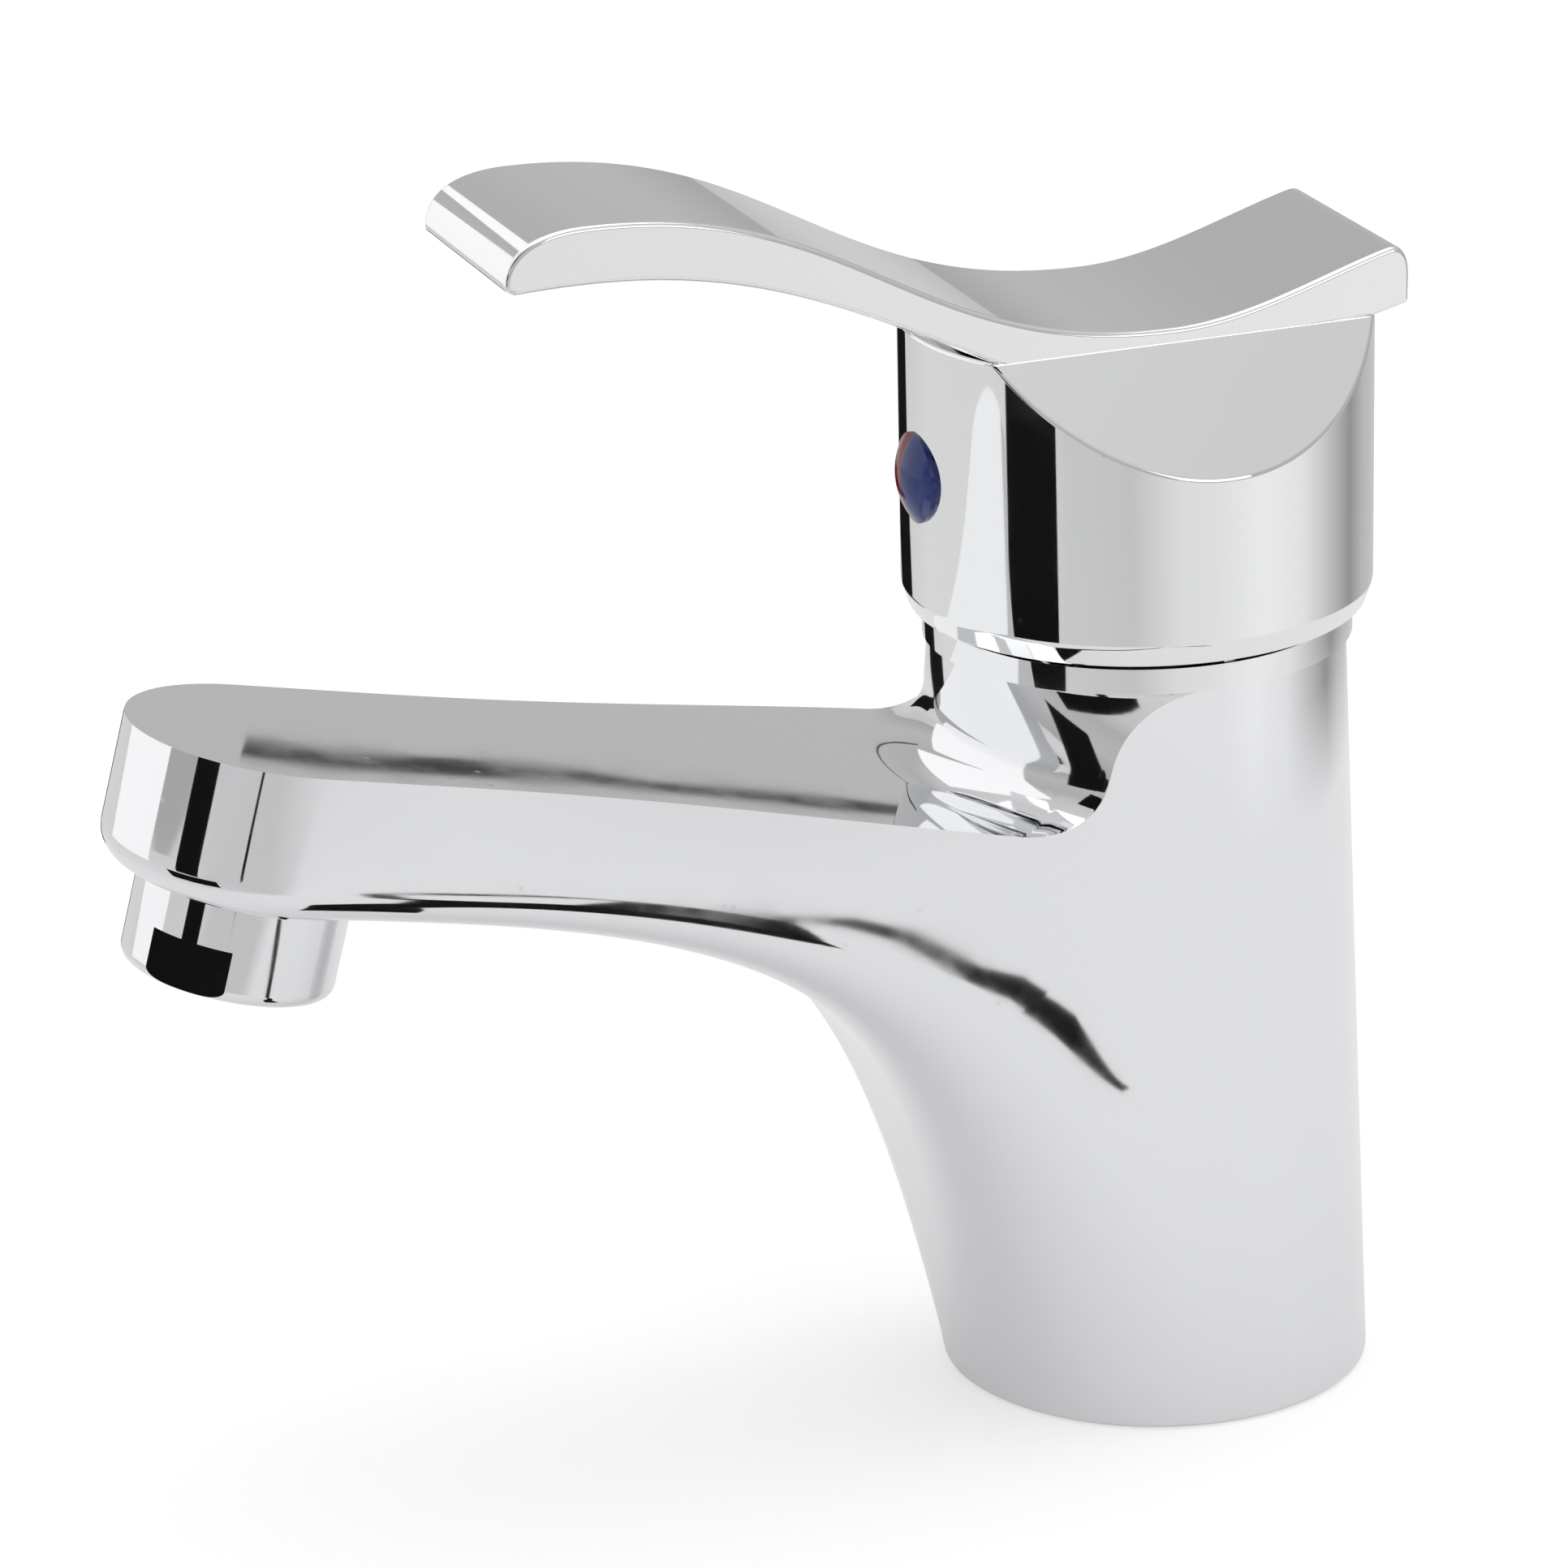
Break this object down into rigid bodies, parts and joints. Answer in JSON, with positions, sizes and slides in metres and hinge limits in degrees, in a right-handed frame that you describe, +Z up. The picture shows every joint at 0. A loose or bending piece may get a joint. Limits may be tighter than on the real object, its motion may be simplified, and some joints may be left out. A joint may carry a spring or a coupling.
{
  "type": "single-lever basin mixer tap",
  "caption": "Chrome single-lever washbasin mixer tap with a rising spout, wave-shaped lever on a round cap, ceramic-disc cartridge and tilted aerator.",
  "frame": {"origin": "centre of the round foot, at the height of the basin's deck", "axes": "+Z up, -Y along the spout and the lever, +X the cold side"},
  "size_m": [0.058, 0.1617, 0.1603],
  "materials": {
    "chrome": "polished chrome plate",
    "chrome_lever": "polished chrome plate",
    "chrome_trim": "polished chrome plate",
    "chrome_aerator": "polished chrome plate",
    "seal_rubber": "matt black rubber",
    "white_acetal": "natural white plastic",
    "grey_acetal": "grey plastic",
    "alumina": "lapped white ceramic",
    "brass": "turned brass",
    "steel": "plain steel",
    "blue_button": "glossy blue",
    "red_button": "glossy red"
  },
  "bodies": {
    "tap": {"body": "chrome", "base_seal": "seal_rubber", "cartridge_base": "white_acetal", "port_seal_hot": "seal_rubber", "port_seal_cold": "seal_rubber", "port_seal_outlet": "seal_rubber", "disc_gasket": "seal_rubber", "fixed_disc": "alumina", "cartridge_shell": "white_acetal", "glide_ring": "white_acetal", "clamp_nut": "brass", "trim_ring": "chrome_trim", "trim_seal": "seal_rubber", "aerator_housing": "chrome_aerator", "outlet_grid": "grey_acetal", "mixing_screen": "steel", "jet_insert": "white_acetal", "aerator_washer": "seal_rubber"},
    "turning_guide": {"rotor": "grey_acetal", "pivot_pin": "steel"},
    "slider": {"moving_disc": "alumina", "disc_carrier": "white_acetal"},
    "lever": {"spindle": "brass", "spindle_bush": "white_acetal", "handle": "chrome_lever", "set_screw": "steel", "mark_plug": "white_acetal", "cold_mark": "blue_button", "hot_mark": "red_button"}
  },
  "joints": [
    {"name": "lever_turn", "type": "hinge", "parent": "tap", "child": "turning_guide", "pos_m": [0, -0.002, 0.098], "axis": [0, 0, 1], "range_deg": [-45, 45]},
    {"name": "lever_lift", "type": "hinge", "parent": "turning_guide", "child": "lever", "pos_m": [0, -0.002, 0.098], "axis": [-1, 0, 0], "range_deg": [0, 20]},
    {"name": "disc_slide", "type": "slide", "parent": "turning_guide", "child": "slider", "axis": [0, -1, 0], "range_m": [0, 0.0036]}
  ],
  "couplings": [
    {"joint": "disc_slide", "follows": "lever_lift", "m_per_rad": 0.0098}
  ]
}
